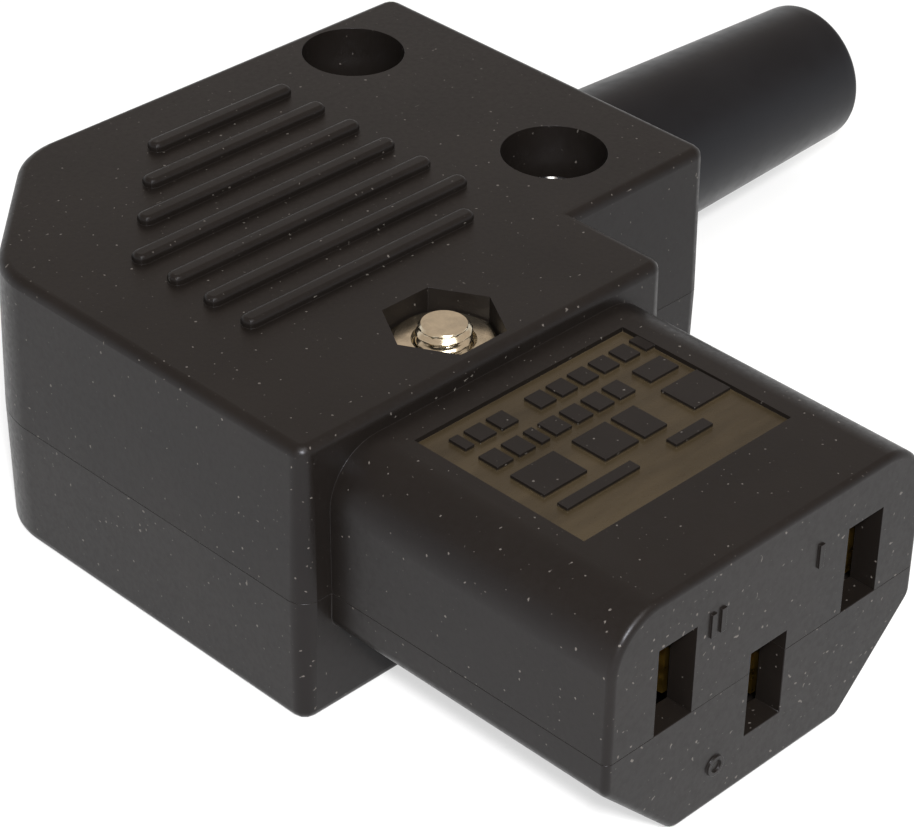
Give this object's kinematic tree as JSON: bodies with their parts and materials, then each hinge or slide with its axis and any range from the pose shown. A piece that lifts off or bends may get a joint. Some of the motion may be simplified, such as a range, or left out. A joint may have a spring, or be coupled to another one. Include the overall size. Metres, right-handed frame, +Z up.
{
  "type": "c13 power connector",
  "caption": "Right-angle C13 mains connector of two screwed shells, with ribs on top, a nut pocket, spring contacts inside and a tapered boot at the side for the cord.",
  "frame": {"origin": "on the base, under the middle of the part's box", "axes": "+X the way the cord leaves, -Y the way the nose points, +Z up from the base to the ribbed top"},
  "size_m": [0.0631, 0.0518, 0.0175],
  "materials": {
    "shell_plastic": "moulded black, fine satin grain",
    "boot_plastic": "smooth soft black, slight sheen",
    "clamp_plastic": "moulded dark grey",
    "contact_brass": "folded sheet, bright",
    "screw_steel": "zinc-plated",
    "plated_steel": "bright nickel-plated"
  },
  "bodies": {
    "root": {"upper_shell": "shell_plastic", "lower_shell": "shell_plastic", "cord_boot": "boot_plastic", "line_contact": "contact_brass", "neutral_contact": "contact_brass", "earth_contact": "contact_brass", "line_terminal_screw": "screw_steel", "neutral_terminal_screw": "screw_steel", "earth_terminal_screw": "screw_steel", "line_wire_clamp": "screw_steel", "neutral_wire_clamp": "screw_steel", "earth_wire_clamp": "screw_steel", "cord_clamp_bar": "clamp_plastic", "front_cord_clamp_screw": "screw_steel", "rear_cord_clamp_screw": "screw_steel", "closing_screw": "plated_steel", "closing_washer": "plated_steel", "closing_nut": "plated_steel", "front_cover_screw": "screw_steel", "rear_cover_screw": "screw_steel"}
  },
  "joints": []
}
